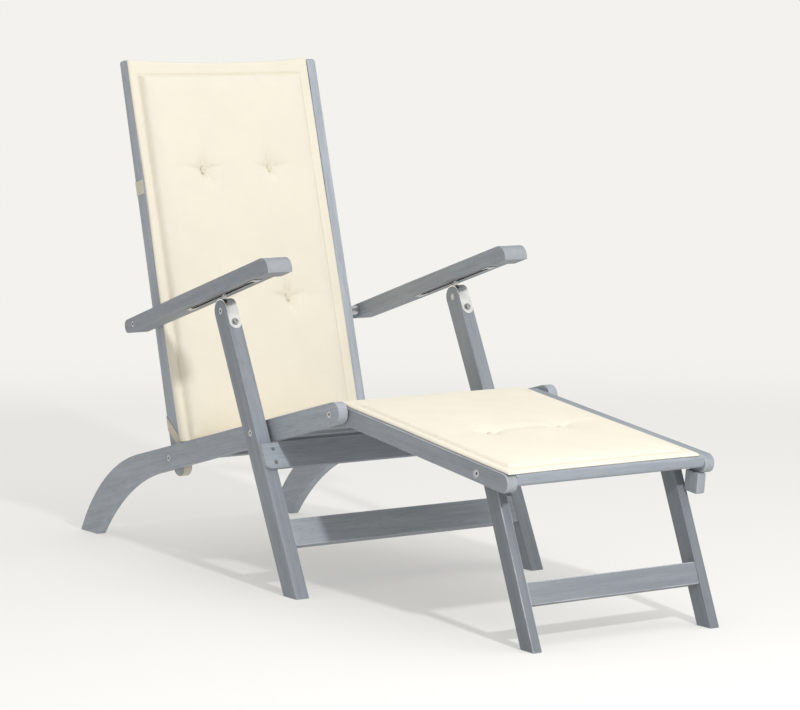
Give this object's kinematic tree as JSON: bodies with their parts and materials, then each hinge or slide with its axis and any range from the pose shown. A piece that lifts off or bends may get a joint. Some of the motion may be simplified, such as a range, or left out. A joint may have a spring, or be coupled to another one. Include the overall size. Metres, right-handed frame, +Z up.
{
  "type": "folding chaise longue",
  "caption": "Folding wooden deck chair with reclining slatted back, groove-track arms, drop-down footrest and a tufted full-length cushion.",
  "frame": {"origin": "on the ground, under the middle of the whole chair", "axes": "+Z up, +Y towards the rear feet, -Y towards the foot end, +X towards the sitter's left"},
  "size_m": [0.592, 1.5828, 0.9982],
  "materials": {
    "wood": "matte grey wash",
    "slat_wood": "matte grey wash",
    "hardware": "satin",
    "zinc": "dull",
    "cushion_cloth": "woven, matte",
    "webbing": "woven, matte"
  },
  "bodies": {
    "seat_frame": {"seat_rail_left": "wood", "seat_rail_right": "wood", "seat_cross_bars": "wood", "seat_slats": "slat_wood", "leg_pivot_bolts": "hardware", "leg_pivot_nuts": "hardware", "leg_spacers": "hardware", "seat_cushion": "cushion_cloth"},
    "knee_bolts": {"knee_pivot_bolts": "hardware", "knee_pivot_nuts": "hardware", "knee_washers": "hardware"},
    "back_bolts": {"back_pivot_bolts": "hardware", "back_pivot_nuts": "hardware", "back_washers": "hardware"},
    "back": {"back_stile_left": "wood", "back_stile_right": "wood", "back_top_rail": "wood", "back_middle_rail": "wood", "back_bottom_rail": "wood", "back_slats": "slat_wood", "back_cushion": "cushion_cloth", "cushion_strap_upper": "webbing", "cushion_strap_lower": "webbing", "cushion_strap_loop": "webbing"},
    "arm_bolts": {"arm_pivot_bolts": "hardware", "arm_pivot_nuts": "hardware", "arm_spacers": "hardware"},
    "arm_left": {"arm_left": "wood", "arm_track_left": "zinc", "track_screws_left": "hardware"},
    "arm_right": {"arm_right": "wood", "arm_track_right": "zinc", "track_screws_right": "hardware"},
    "front_legs": {"front_leg_left": "wood", "front_leg_right": "wood", "leg_stretcher": "wood", "seat_apron": "wood", "apron_screws": "hardware", "leg_bracket_left": "hardware", "leg_bracket_right": "hardware", "bracket_face_bolts": "hardware", "bracket_cross_bolts": "hardware", "bracket_nuts": "hardware"},
    "footrest": {"foot_rail_left": "wood", "foot_rail_right": "wood", "foot_front_bar": "wood", "foot_rear_bar": "wood", "foot_slats": "slat_wood", "leg_stop_block": "wood", "foot_leg_bolts": "hardware", "foot_leg_nuts": "hardware", "foot_leg_washers": "hardware", "foot_cushion": "cushion_cloth"},
    "foot_legs": {"foot_leg_left": "wood", "foot_leg_right": "wood", "foot_leg_stretcher": "wood"}
  },
  "joints": [
    {"name": "frame_fold", "type": "hinge", "parent": "seat_frame", "child": "back_bolts", "pos_m": [0, 0.40555, 0.19823], "axis": [1, 0, 0], "range_deg": [0, 70], "deforming": ["seat_cushion", "back_cushion"]},
    {"name": "back_recline", "type": "hinge", "parent": "back_bolts", "child": "back", "pos_m": [0, 0.40555, 0.19823], "axis": [1, 0, 0], "range_deg": [-22, 4]},
    {"name": "front_legs_fold", "type": "hinge", "parent": "seat_frame", "child": "front_legs", "pos_m": [0, 0.01743, 0.295], "axis": [1, 0, 0], "range_deg": [0, 91]},
    {"name": "arm_fold", "type": "hinge", "parent": "back", "child": "arm_bolts", "pos_m": [0, 0.46879, 0.46701], "axis": [1, 0, 0], "range_deg": [-87.5, 0]},
    {"name": "arm_left_level", "type": "hinge", "parent": "arm_bolts", "child": "arm_left", "pos_m": [0, 0.46879, 0.46701], "axis": [1, 0, 0], "range_deg": [-3.8, 20.7]},
    {"name": "arm_right_level", "type": "hinge", "parent": "arm_bolts", "child": "arm_right", "pos_m": [0, 0.46879, 0.46701], "axis": [1, 0, 0], "range_deg": [-3.8, 20.7]},
    {"name": "knee_tuck", "type": "hinge", "parent": "seat_frame", "child": "knee_bolts", "pos_m": [0, -0.20961, 0.35161], "axis": [1, 0, 0], "range_deg": [0, 33]},
    {"name": "footrest_fold", "type": "hinge", "parent": "knee_bolts", "child": "footrest", "pos_m": [0, -0.20961, 0.35161], "axis": [1, 0, 0], "range_deg": [0, 97], "deforming": ["foot_cushion"]},
    {"name": "foot_legs_fold", "type": "hinge", "parent": "footrest", "child": "foot_legs", "pos_m": [0, -0.65244, 0.29444], "axis": [1, 0, 0], "range_deg": [0, 117]}
  ],
  "couplings": [
    {"joint": "front_legs_fold", "follows": "frame_fold", "ratio": 1.3},
    {"joint": "arm_fold", "follows": "frame_fold", "ratio": -1.25},
    {"joint": "knee_tuck", "follows": "frame_fold", "ratio": 0.4714},
    {"joint": "arm_left_level", "follows": "back_recline", "ratio": -0.94},
    {"joint": "arm_right_level", "follows": "back_recline", "ratio": -0.94}
  ]
}
